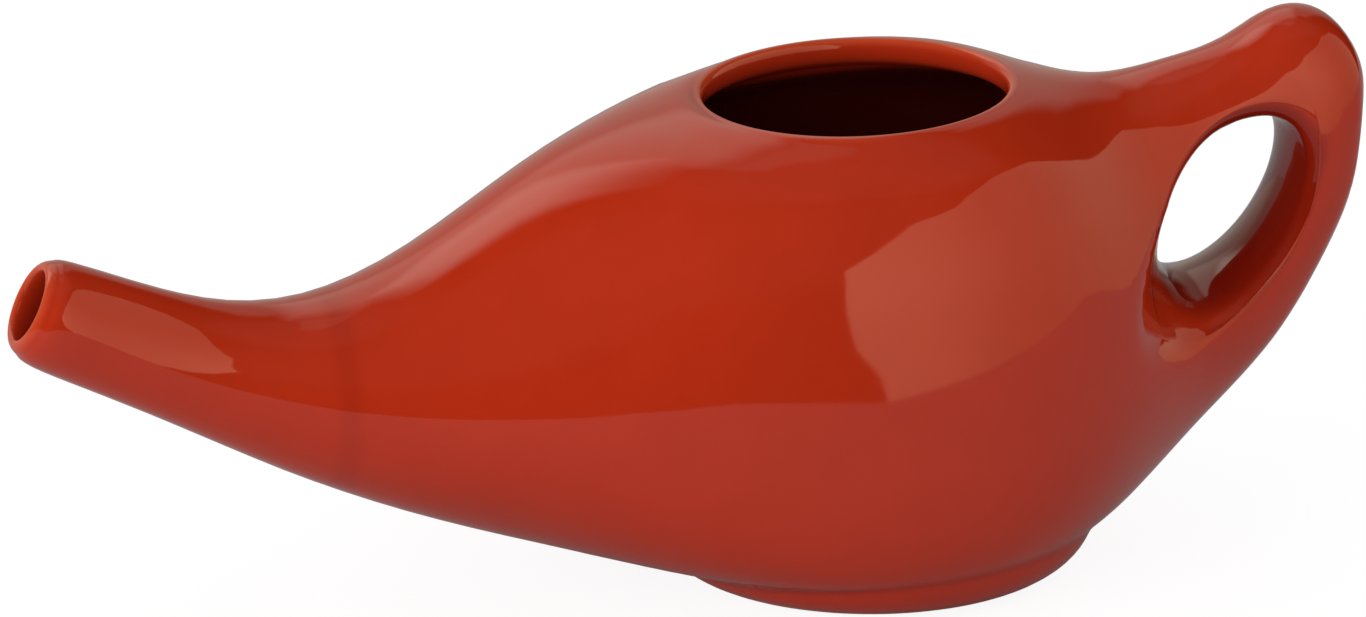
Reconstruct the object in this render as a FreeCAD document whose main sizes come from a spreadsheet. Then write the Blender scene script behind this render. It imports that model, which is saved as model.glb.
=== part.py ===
import FreeCAD, Part
import math
import os
import Sketcher

# Neti pot, thrown thin and glazed: a lamp-shaped bowl that runs out into a drinking-horn spout at
# -X and pinches up into a flat looped handle at +X. All of it is one piece of fired clay.
# Z is up. The origin is the centre of the ring of the foot, on the table.

SIZES = (
    # alias, millimetres or degrees, what it is
    # The bowl is a skin over upright ovals. Each oval has a widest line, and a height above and below it.
    ("bowl_offset", -4, "fullest oval, along X from the axis of the foot"),
    ("bowl_widest", 29.8, "height of the widest line there"),
    ("bowl_above", 40.6, "height above the widest line, before the mouth is cut"),
    ("bowl_below", 28.5, "depth below the widest line"),
    ("bowl_half", 36.2, "half width"),
    # Towards the spout: step and rise from the oval before, lean of the top towards +X
    ("breast_step", 22.6, "along -X from the fullest oval"),
    ("breast_rise", -1.2, "rise of the widest line"),
    ("breast_lean_angle", 1, "lean"),
    ("breast_above", 38.3, "above"),
    ("breast_below", 25.7, "below"),
    ("breast_half", 32.8, "half width"),
    ("shoulder_step", 20.4, "step"),
    ("shoulder_rise", 0.6, "rise"),
    ("shoulder_lean_angle", 2, "lean"),
    ("shoulder_above", 30.8, "above"),
    ("shoulder_below", 21.9, "below"),
    ("shoulder_half", 25.6, "half width"),
    ("root_step", 18, "root of the spout: step"),
    ("root_rise", 0.8, "rise"),
    ("root_lean_angle", 5, "lean"),
    ("root_above", 19.2, "above"),
    ("root_below", 16.8, "below"),
    ("root_half", 18.1, "half width"),
    ("neck_step", 15.4, "step"),
    ("neck_rise", 2.7, "rise"),
    ("neck_lean_angle", 10.5, "lean"),
    ("neck_above", 11.1, "above"),
    ("neck_below", 12.8, "below"),
    ("neck_half", 12.4, "half width"),
    ("spout_step", 14.6, "step"),
    ("spout_rise", 3.5, "rise"),
    ("spout_lean_angle", 18, "lean"),
    ("spout_radius", 8.8, "radius, from here on the spout is round"),
    ("nozzle_step", 12.6, "step"),
    ("nozzle_rise", 5.4, "rise"),
    ("nozzle_lean_angle", 22.5, "lean"),
    ("nozzle_radius", 7.9, "radius"),
    ("tip_step", 9.5, "step"),
    ("tip_rise", 4.5, "rise"),
    ("tip_lean_angle", 26, "lean"),
    ("tip_radius", 7.1, "radius"),
    # Towards the handle
    ("back_step", 21.6, "along +X from the fullest oval"),
    ("back_rise", 0, "rise"),
    ("back_lean_angle", 0, "lean"),
    ("back_above", 38.8, "above"),
    ("back_below", 28.4, "below"),
    ("back_half", 33.8, "half width"),
    ("saddle_step", 14.8, "step"),
    ("saddle_rise", 4, "rise"),
    ("saddle_lean_angle", -1, "lean"),
    ("saddle_above", 32.1, "above"),
    ("saddle_below", 28.2, "below"),
    ("saddle_half", 24.5, "half width"),
    ("wrist_step", 11.2, "step"),
    ("wrist_rise", 4.9, "rise"),
    ("wrist_lean_angle", -3, "lean"),
    ("wrist_above", 29, "above"),
    ("wrist_below", 23, "below"),
    ("wrist_half", 15.5, "half width"),
    ("thumb_step", 9.8, "step"),
    ("thumb_rise", 9.8, "rise"),
    ("thumb_lean_angle", -6.5, "lean"),
    ("thumb_above", 22, "above"),
    ("thumb_below", 21.5, "below"),
    ("thumb_half", 11.2, "half width"),
    ("knuckle_step", 7, "step"),
    ("knuckle_rise", 7.9, "rise"),
    ("knuckle_lean_angle", -8, "lean"),
    ("knuckle_above", 17.6, "above"),
    ("knuckle_below", 18, "below"),
    ("knuckle_half", 9.9, "half width"),
    ("crest_step", 4.9, "step"),
    ("crest_rise", 5, "rise"),
    ("crest_lean_angle", -6, "lean"),
    ("crest_above", 11, "above"),
    ("crest_below", 13, "below"),
    ("crest_half", 8.9, "half width"),
    ("nose_step", 2.1, "step"),
    ("nose_rise", 0.6, "rise"),
    ("nose_lean_angle", 0, "lean"),
    ("nose_above", 6.2, "above"),
    ("nose_below", 6, "below"),
    ("nose_half", 6.6, "half width"),
    ("end_step", 1, "last small oval, which rounds the nose off: step"),
    ("end_rise", 0.2, "rise"),
    ("end_lean_angle", 0, "lean"),
    ("end_above", 3, "above"),
    ("end_below", 2.6, "below"),
    ("end_half", 3.2, "half width"),
    # How square an oval is: 0.78 draws an ellipse, 1 a squircle
    ("round_fullness", 0.78, "ellipse"),
    ("crown_fullness", 0.93, "top of the bowl, which is nearly level round the mouth"),
    ("belly_fullness", 1, "underside of the bowl, where it spreads to meet the foot"),
    ("breast_fullness", 0.9, "top of the breast"),
    ("flank_fullness", 0.9, "underside on both sides of it"),
    ("handle_fullness", 0.86, "flat sides of the handle"),
    # Clay
    ("wall", 4, "wall of the bowl"),
    ("spout_wall", 3.4, "wall half way along the spout"),
    ("nozzle_wall", 2.8, "wall near its end"),
    ("tip_wall", 2.2, "wall at its end"),
    ("tip_outer_round", 1.2, "outer edge of the end of the spout"),
    ("tip_inner_round", 0.8, "edge of its bore"),
    # Hollow towards the handle, closed by a round end
    ("saddle_wall", 7, "clay at the saddle, where the hollow closes"),
    ("hollow_end_step", 1.6, "end of the hollow past the saddle"),
    ("hollow_end_rise", 2, "its rise"),
    ("hollow_end_above", 13, "above"),
    ("hollow_end_below", 12, "below"),
    ("hollow_end_half", 8, "half width"),
    # Mouth
    ("mouth_offset", -2.2, "centre of the mouth along X"),
    ("mouth_long", 20.6, "half length along X"),
    ("mouth_wide", 19.6, "half width along Y"),
    ("mouth_clear", 3, "the cut starts this far over the top of the bowl"),
    ("mouth_depth", 26, "depth of the cut, well into the hollow"),
    ("lip_round", 1.3, "radius of both edges of the lip"),
    # Foot
    ("foot_inset", 5.4, "side of the foot, inwards from the half width of the bowl"),
    ("foot_round", 8.2, "radius of its outer edge"),
    ("foot_side", 0.8, "straight side above that, inside the clay of the bowl"),
    ("ring_flat", 2.6, "width of the flat ring it stands on"),
    ("recess", 1.4, "depth of the hollow under it"),
    ("ring_round", 1, "edge inside the ring"),
    ("foot_blend", 2, "fillet between the bowl and the foot"),
    # Eye of the handle: an almond that opens out towards both sides
    ("eye_step", -4.9, "centre of the eye from the thumb oval"),
    ("eye_rise", 0.2, "its rise"),
    ("eye_lean_angle", 58, "slope of its long axis"),
    ("eye_long", 12.8, "half length in the middle plane"),
    ("eye_above", 8.8, "width over its long axis, towards the crest"),
    ("eye_below", 6.9, "width under it"),
    ("eye_crown_fullness", 0.75, "fullness over the axis"),
    ("eye_keel_fullness", 0.78, "fullness under it, which gives the ends their points"),
    ("eye_reach", 9, "distance of the first wider almond from the middle plane"),
    ("eye_flare", 1.65, "growth there, four times as much at twice the distance"),
    ("eye_crown_flare", 1.5, "growth of the width over its long axis, which nears the bowl"),
    ("eye_slide", 0.5, "how far that almond slides down and away from the bowl"),
    ("eye_round", 2.5, "radius of the edge of the eye"),
)

SPOUT_SIDE = ("breast", "shoulder", "root", "neck", "spout", "nozzle", "tip")
HANDLE_SIDE = ("back", "saddle", "wrist", "thumb", "knuckle", "crest", "nose", "end")
ROUND = ("spout", "nozzle", "tip")


def make_sheet(doc):
    sheet = doc.addObject("Spreadsheet::Sheet", "Sizes")
    for row, (alias, value, note) in enumerate(SIZES, start=1):
        sheet.set("A%d" % row, alias)
        sheet.set("B%d" % row, str(value))
        sheet.set("C%d" % row, note)
        sheet.setAlias("B%d" % row, alias)
    doc.recompute()
    return sheet


def size(alias):
    return "Sizes." + alias


def foot_radius():
    return "%s - %s" % (size("bowl_half"), size("foot_inset"))


def recess_radius():
    # The foot less its rounded edge and the flat ring it stands on
    return "%s - %s - %s" % (foot_radius(), size("foot_round"), size("ring_flat"))


def origin_plane(body, role):
    return next(item for item in body.Origin.OriginFeatures if item.Role == role)


def place(sketch, base, axis, angle):
    # base holds three expressions, or None, for the offset in the plane's own x, y and normal
    turn = FreeCAD.Rotation(axis, 10)
    sketch.AttachmentOffset = FreeCAD.Placement(FreeCAD.Vector(), turn if angle else FreeCAD.Rotation())
    for letter, expression in zip("xyz", base):
        if expression:
            sketch.setExpression("AttachmentOffset.Base." + letter, expression)
    if angle:
        sketch.setExpression("AttachmentOffset.Rotation.Angle", angle)


def bind(sketch, constraint, expression, name=None):
    index = sketch.addConstraint(constraint)
    if name:
        sketch.renameConstraint(index, name)
    sketch.setExpression("Constraints[%d]" % index, expression)


def draw_oval(sketch, half, above, below, full_above, full_below):
    # A closed cubic curve on eight poles, the same on both sides of the sketch's y axis.
    # Pole 0 is on top, 2 and 6 are at the sides, 4 is at the bottom, and the others are the corners.
    # They start on a rough oval, which the constraints then size.
    far, near = 10, 8
    start = [(0, far), (near, near), (far, 0), (near, -near),
             (0, -far), (-near, -near), (-far, 0), (-near, near)]
    curve = Part.BSplineCurve()
    curve.buildFromPoles([FreeCAD.Vector(x, y, 0) for x, y in start], True, 3)
    sketch.exposeInternalGeometry(sketch.addGeometry(curve, False))
    poles = [i for i, item in enumerate(sketch.Geometry) if item.TypeId == "Part::GeomCircle"]

    def across(pole, expression):
        right = Sketcher.Constraint("DistanceX", -1, 1, poles[pole], 3, start[pole][0])
        bind(sketch, right, expression)

    def up(pole, expression):
        over = Sketcher.Constraint("DistanceY", -1, 1, poles[pole], 3, start[pole][1])
        bind(sketch, over, expression)

    def down(pole, expression):
        under = Sketcher.Constraint("DistanceY", poles[pole], 3, -1, 1, -start[pole][1])
        bind(sketch, under, expression)

    for pole in (0, 4):
        sketch.addConstraint(Sketcher.Constraint("PointOnObject", poles[pole], 3, -2))
    sketch.addConstraint(Sketcher.Constraint("PointOnObject", poles[2], 3, -1))
    up(0, "(%s) * (1.5 - 0.5 * %s)" % (above, full_above))
    across(1, "(%s) * %s" % (half, full_above))
    up(1, "(%s) * %s" % (above, full_above))
    across(2, "(%s) * (1.5 - 0.25 * (%s + %s))" % (half, full_above, full_below))
    across(3, "(%s) * %s" % (half, full_below))
    down(3, "(%s) * %s" % (below, full_below))
    down(4, "(%s) * (1.5 - 0.5 * %s)" % (below, full_below))
    for right, left in ((1, 7), (2, 6), (3, 5)):
        sketch.addConstraint(Sketcher.Constraint("Symmetric", poles[right], 3, poles[left], 3, -2))


def stations():
    # Every oval of the skin by name: where it stands, and the expressions that size it
    ovals = {}

    def add(name, x, z, lean, half, above, below, full_above, full_below):
        ovals[name] = dict(x=x, z=z, lean=lean, half=half, above=above, below=below,
                           full_above=full_above, full_below=full_below)

    ellipse, crown, breast, belly, flank, handle = (
        size(word + "_fullness") for word in ("round", "crown", "breast", "belly", "flank", "handle"))
    over = {"bowl": crown, "back": crown, "breast": breast}
    under = {"bowl": belly, "breast": flank, "back": flank}
    for name in HANDLE_SIDE[3:]:
        over[name] = under[name] = handle
    add("bowl", size("bowl_offset"), size("bowl_widest"), None, size("bowl_half"),
        size("bowl_above"), size("bowl_below"), over["bowl"], under["bowl"])
    for names, sign in ((SPOUT_SIDE, "-"), (HANDLE_SIDE, "+")):
        x, z = size("bowl_offset"), size("bowl_widest")
        for name in names:
            x = "%s %s %s_step" % (x, sign, size(name))
            z = "%s + %s_rise" % (z, size(name))
            if name in ROUND:
                half = above = below = size(name + "_radius")
            else:
                half, above, below = (size(name + end) for end in ("_half", "_above", "_below"))
            add(name, x, z, size(name + "_lean_angle"), half, above, below,
                over.get(name, ellipse), under.get(name, ellipse))
    return ovals


def oval_across(body, label, oval):
    # An upright oval, square to X before it leans
    sketch = body.newObject("Sketcher::SketchObject", label)
    sketch.AttachmentSupport = [(origin_plane(body, "YZ_Plane"), "")]
    sketch.MapMode = "FlatFace"
    place(sketch, (None, oval["z"], oval["x"]), FreeCAD.Vector(1, 0, 0), oval["lean"])
    draw_oval(sketch, oval["half"], oval["above"], oval["below"], oval["full_above"], oval["full_below"])
    return sketch


def make_skin(body, ovals):
    names = tuple(reversed(SPOUT_SIDE)) + ("bowl",) + HANDLE_SIDE
    sketches = [oval_across(body, name + "_oval", ovals[name]) for name in names]
    skin = body.newObject("PartDesign::AdditiveLoft", "skin")
    skin.Profile = sketches[0]
    skin.Sections = sketches[1:]
    return skin


def make_foot(body):
    # A low dish, turned on the wheel: its outer edge is one round from the table up
    sketch = body.newObject("Sketcher::SketchObject", "foot_profile")
    sketch.AttachmentSupport = [(origin_plane(body, "XZ_Plane"), "")]
    sketch.MapMode = "FlatFace"
    radius, edge, side = 30.0, 8.0, 1.0
    corners = [FreeCAD.Vector(x, y, 0) for x, y in
               ((0, 0), (radius - edge, 0), (radius, edge), (radius, edge + side), (0, edge + side))]
    circle = Part.Circle(FreeCAD.Vector(radius - edge, edge, 0), FreeCAD.Vector(0, 0, 1), edge)
    quarter = Part.ArcOfCircle(circle, -0.5 * math.pi, 0)
    base, rounded, wall, lid, axis = sketch.addGeometry([
        Part.LineSegment(corners[0], corners[1]), quarter, Part.LineSegment(corners[2], corners[3]),
        Part.LineSegment(corners[3], corners[4]), Part.LineSegment(corners[4], corners[0])], False)
    sketch.addConstraint([
        Sketcher.Constraint("Tangent", base, 2, rounded, 1),
        Sketcher.Constraint("Tangent", rounded, 2, wall, 1),
        Sketcher.Constraint("Coincident", wall, 2, lid, 1),
        Sketcher.Constraint("Coincident", lid, 2, axis, 1),
        Sketcher.Constraint("Coincident", axis, 2, base, 1),
        Sketcher.Constraint("Coincident", base, 1, -1, 1),
        Sketcher.Constraint("Horizontal", base),
        Sketcher.Constraint("Horizontal", lid),
        Sketcher.Constraint("Vertical", wall),
        Sketcher.Constraint("Vertical", axis),
    ])
    bind(sketch, Sketcher.Constraint("Radius", rounded, edge), size("foot_round"))
    bind(sketch, Sketcher.Constraint("DistanceX", -1, 1, wall, 2, radius), foot_radius())
    bind(sketch, Sketcher.Constraint("DistanceY", wall, 1, wall, 2, side), size("foot_side"))
    foot = body.newObject("PartDesign::Revolution", "foot")
    foot.Profile = sketch
    foot.ReferenceAxis = (sketch, ["V_Axis"])
    foot.Angle = 360
    return foot


def make_hollow(body, ovals):
    # The same ovals, smaller by the wall, from the bore of the spout to the saddle
    walls = {"tip": "tip_wall", "nozzle": "nozzle_wall", "spout": "spout_wall", "saddle": "saddle_wall"}
    sketches = []
    for name in tuple(reversed(SPOUT_SIDE)) + ("bowl", "back", "saddle"):
        inner = dict(ovals[name])
        for key in ("half", "above", "below"):
            inner[key] = "%s - %s" % (inner[key], size(walls.get(name, "wall")))
        sketches.append(oval_across(body, name + "_hollow", inner))
    end = dict(ovals["saddle"])
    end["x"] = "%s + %s" % (end["x"], size("hollow_end_step"))
    end["z"] = "%s + %s" % (end["z"], size("hollow_end_rise"))
    for key in ("half", "above", "below"):
        end[key] = size("hollow_end_" + key)
    sketches.append(oval_across(body, "end_hollow", end))
    hollow = body.newObject("PartDesign::SubtractiveLoft", "hollow")
    hollow.Profile = sketches[0]
    hollow.Sections = sketches[1:]
    return hollow


def make_mouth(body):
    # The top of the bowl is cut away straight down; its rim is as high as the bowl is there
    sketch = body.newObject("Sketcher::SketchObject", "mouth_oval")
    sketch.AttachmentSupport = [(origin_plane(body, "XY_Plane"), "")]
    sketch.MapMode = "FlatFace"
    top = " + ".join(size(name) for name in ("bowl_widest", "bowl_above", "mouth_clear"))
    place(sketch, (size("mouth_offset"), None, top), FreeCAD.Vector(0, 0, 1), None)
    fullness = size("round_fullness")
    draw_oval(sketch, size("mouth_long"), size("mouth_wide"), size("mouth_wide"), fullness, fullness)
    mouth = body.newObject("PartDesign::Pocket", "mouth")
    mouth.Profile = sketch
    mouth.setExpression("Length", size("mouth_depth"))
    return mouth


def make_eye(body, ovals):
    # Seven almonds square to Y; off the middle plane they grow with the square of their distance
    sketches = []
    for step in range(-3, 4):
        sketch = body.newObject("Sketcher::SketchObject", "eye_almond")
        sketch.AttachmentSupport = [(origin_plane(body, "XZ_Plane"), "")]
        sketch.MapMode = "FlatFace"
        square = step * step
        x = "%s + %s + %d * %s" % (ovals["thumb"]["x"], size("eye_step"), square, size("eye_slide"))
        z = "%s + %s - %d * %s" % (ovals["thumb"]["z"], size("eye_rise"), square, size("eye_slide"))
        away = "%d * %s" % (step, size("eye_reach"))
        place(sketch, (x, z, away), FreeCAD.Vector(0, 0, 1), size("eye_lean_angle"))
        long, below = ("%s + %d * %s" % (size(name), square, size("eye_flare"))
                       for name in ("eye_long", "eye_below"))
        above = "%s + %d * %s" % (size("eye_above"), square, size("eye_crown_flare"))
        draw_oval(sketch, long, above, below, size("eye_crown_fullness"), size("eye_keel_fullness"))
        sketches.append(sketch)
    eye = body.newObject("PartDesign::SubtractiveLoft", "eye")
    eye.Profile = sketches[0]
    eye.Sections = sketches[1:]
    return eye


def make_recess(body):
    # A shallow round hollow under the foot, so that it stands on a ring
    sketch = body.newObject("Sketcher::SketchObject", "recess_circle")
    sketch.AttachmentSupport = [(origin_plane(body, "XY_Plane"), "")]
    sketch.MapMode = "FlatFace"
    start = 20
    circle = sketch.addGeometry(Part.Circle(FreeCAD.Vector(), FreeCAD.Vector(0, 0, 1), start), False)
    sketch.addConstraint(Sketcher.Constraint("Coincident", circle, 3, -1, 1))
    bind(sketch, Sketcher.Constraint("Radius", circle, start), recess_radius(), "radius")
    recess = body.newObject("PartDesign::Pocket", "recess")
    recess.Profile = sketch
    recess.Reversed = True
    recess.setExpression("Length", size("recess"))
    return recess


def value(doc, alias):
    return float(doc.getObject("Sizes").get(alias))


def round_off(doc, body, label, radius, wanted, count):
    # Rounds the closed edges whose bounding box passes the test
    doc.recompute()
    base = body.Tip
    edges = ["Edge%d" % number for number, edge in enumerate(base.Shape.Edges, start=1)
             if edge.Closed and wanted(edge.BoundBox)]
    if len(edges) != count:
        raise ValueError("%s: %d edges, not %d" % (label, len(edges), count))
    fillet = body.newObject("PartDesign::Fillet", label)
    fillet.Base = (base, edges)
    fillet.setExpression("Radius", size(radius))


def build(doc):
    body = doc.addObject("PartDesign::Body", "pot")
    body.Label = "pot"
    body.Placement = FreeCAD.Placement()
    ovals = stations()
    widest = value(doc, "bowl_widest")
    mouth, mouth_half = value(doc, "mouth_offset"), value(doc, "mouth_long")
    mouth_low, mouth_high = mouth - 1.1 * mouth_half, mouth + 1.1 * mouth_half

    make_skin(body, ovals)
    make_foot(body)
    # The only closed edge off the table that is wholly under the widest line
    round_off(doc, body, "foot_crease", "foot_blend",
              lambda box: box.ZMin > 1 and box.ZMax < widest, 1)

    make_hollow(body, ovals)
    doc.recompute()
    tip_x = body.Shape.BoundBox.XMin
    tip_reach = tip_x + value(doc, "tip_step")
    bore = 2 * (value(doc, "tip_radius") - value(doc, "tip_wall"))
    middle = bore + value(doc, "tip_wall")
    round_off(doc, body, "tip_outer_edge", "tip_outer_round",
              lambda box: box.XMax < tip_reach and box.YLength > middle, 1)
    round_off(doc, body, "tip_bore_edge", "tip_inner_round",
              lambda box: box.XMax < tip_reach and box.YLength < 0.5 * (bore + middle), 1)

    make_mouth(body)
    round_off(doc, body, "lip", "lip_round",
              lambda box: box.ZMin > widest and mouth_low < box.XMin and box.XMax < mouth_high, 2)

    make_eye(body, ovals)
    # The only edges that stay on their own side of the middle plane
    round_off(doc, body, "eye_edges", "eye_round", lambda box: box.YMin > 0 or box.YMax < 0, 2)

    recess = make_recess(body)
    doc.recompute()
    ring = 2 * recess.Profile[0].getDatum("radius").Value
    # On the table, and no wider than the recess
    round_off(doc, body, "ring_edge", "ring_round",
              lambda box: abs(box.ZMax) < 0.01 and box.YLength < 1.01 * ring, 1)
    doc.recompute()
    return body


def main():
    doc = FreeCAD.newDocument("neti_pot")
    make_sheet(doc)
    pot = build(doc)
    failed = [item.Name for item in doc.Objects
              if "Invalid" in item.State or "Error" in item.State]
    if failed:
        raise RuntimeError("not built: " + ", ".join(failed))
    shape = pot.Shape
    if shape.isNull() or not shape.isValid() or len(shape.Solids) != 1:
        raise RuntimeError("the pot is not one valid solid")
    os.makedirs("parts", exist_ok=True)
    shape.exportStep(os.path.join("parts", pot.Label + ".step"))
    print("pot: %.0f mm3 of clay in %d faces" % (shape.Volume, len(shape.Faces)))


main()
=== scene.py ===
import logging
import math
from collections.abc import Callable
from dataclasses import dataclass
from enum import Enum

import bmesh
import bpy
import numpy
from mathutils import Matrix, Vector, kdtree


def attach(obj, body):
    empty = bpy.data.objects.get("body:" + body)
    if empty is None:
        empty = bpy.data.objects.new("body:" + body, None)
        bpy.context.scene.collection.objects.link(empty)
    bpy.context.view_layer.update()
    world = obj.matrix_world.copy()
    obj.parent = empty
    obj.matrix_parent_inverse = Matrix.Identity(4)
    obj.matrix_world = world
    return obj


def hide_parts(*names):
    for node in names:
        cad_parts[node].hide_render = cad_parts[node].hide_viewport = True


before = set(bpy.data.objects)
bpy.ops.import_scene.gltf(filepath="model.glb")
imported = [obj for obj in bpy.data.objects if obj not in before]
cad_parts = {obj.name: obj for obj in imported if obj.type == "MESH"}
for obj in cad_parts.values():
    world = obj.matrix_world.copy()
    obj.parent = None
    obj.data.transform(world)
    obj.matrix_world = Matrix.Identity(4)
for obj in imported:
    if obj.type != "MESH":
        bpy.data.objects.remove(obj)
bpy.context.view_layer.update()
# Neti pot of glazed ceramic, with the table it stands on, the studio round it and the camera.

MM = 0.001
SAME_PLACE = 1e-6

log = logging.getLogger("neti_pot")


def linear(hex_colour: str) -> tuple[float, float, float, float]:
    """Turns an sRGB hex colour into linear values.

    Args:
        hex_colour: Six hex digits, red first.

    Returns:
        Red, green, blue and an alpha of 1.
    """
    parts = [int(hex_colour[i:i + 2], 16) / 255 for i in (0, 2, 4)]
    red, green, blue = (c / 12.92 if c <= 0.04045 else ((c + 0.055) / 1.055) ** 2.4 for c in parts)
    return red, green, blue, 1.0


def add_node(tree: bpy.types.NodeTree, kind: str, inputs: dict | None = None, **settings) -> bpy.types.Node:
    """Adds a node with its settings, its input values and its links.

    Args:
        tree: Node tree that the node goes into.
        kind: Blender's name for the kind of node.
        inputs: Input name or number to a value, or to the output socket that feeds it.
        settings: The node's own properties.

    Returns:
        The new node.
    """
    node = tree.nodes.new(kind)
    for name, value in settings.items():
        setattr(node, name, value)
    for name, value in (inputs or {}).items():
        if isinstance(value, bpy.types.NodeSocket):
            tree.links.new(value, node.inputs[name])
        else:
            node.inputs[name].default_value = value
    return node


def new_material(name: str) -> tuple[bpy.types.Material, bpy.types.NodeTree]:
    """Makes an empty node material.

    Args:
        name: Name of the real material.

    Returns:
        The material and its node tree.
    """
    material = bpy.data.materials.new(name)
    material.use_nodes = True
    material.node_tree.nodes.clear()
    return material, material.node_tree


def smooth_step(value: float, low: float, high: float) -> float:
    """Rises smoothly from 0 at low to 1 at high.

    Args:
        value: Where to look.
        low: Where the rise starts.
        high: Where it ends.

    Returns:
        A value from 0 to 1.
    """
    share = min(max((value - low) / (high - low), 0), 1)
    return share * share * (3 - 2 * share)


def ring_growth(sides: int) -> float:
    """Gives how much larger a ring of the cage is than the round that it refines to.

    Args:
        sides: How many points the ring has.

    Returns:
        The ratio of the two radii.
    """
    return 3 / (2 + math.cos(2 * math.pi / sides))


def pick(piece: bpy.types.Object) -> None:
    """Selects one object and nothing else, and makes it the active one."""
    bpy.ops.object.select_all(action="DESELECT")
    bpy.context.view_layer.objects.active = piece
    piece.select_set(True)


def select_points(piece: bpy.types.Object, wanted: Callable[[Vector], bool]) -> None:
    """Selects the vertices at wanted places of a piece in edit mode.

    Args:
        piece: The piece.
        wanted: Says of a place in metres whether it is wanted.
    """
    edit = bmesh.from_edit_mesh(piece.data)
    for vertex in edit.verts:
        vertex.select_set(wanted(vertex.co))
    edit.select_flush_mode()
    bmesh.update_edit_mesh(piece.data)


class Side(Enum):
    """Which face of the clay a ring of the cage lies on."""

    OUTSIDE = "outside"
    INSIDE = "inside"
    BY_HAND = "by_hand"


@dataclass(frozen=True)
class Upright:
    """An upright oval across the pot, in millimetres and degrees, with its own height above and below."""

    x: float
    z: float
    half: float
    above: float
    below: float
    lean: float = 0.0
    side: Side = Side.OUTSIDE


@dataclass(frozen=True)
class Level:
    """A level oval round the vertical axis, in millimetres and degrees."""

    z: float
    long: float
    wide: float
    x: float = 0.0
    climb: float = 0.0
    side: Side = Side.OUTSIDE


@dataclass(frozen=True)
class Almond:
    """An oval round the eye of the handle, in millimetres and degrees."""

    x: float
    y: float
    z: float
    long: float
    wide: float
    lean: float
    slant: float = 0.0
    side: Side = Side.OUTSIDE


def near(points: list[Vector]) -> Callable[[Vector], bool]:
    """Makes a test of whether a place is one of the points.

    Args:
        points: The points.

    Returns:
        A function of a place.
    """
    tree = kdtree.KDTree(len(points))
    for number, point in enumerate(points):
        tree.insert(point, number)
    tree.balance()
    return lambda place: tree.find(place)[2] < SAME_PLACE


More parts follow.
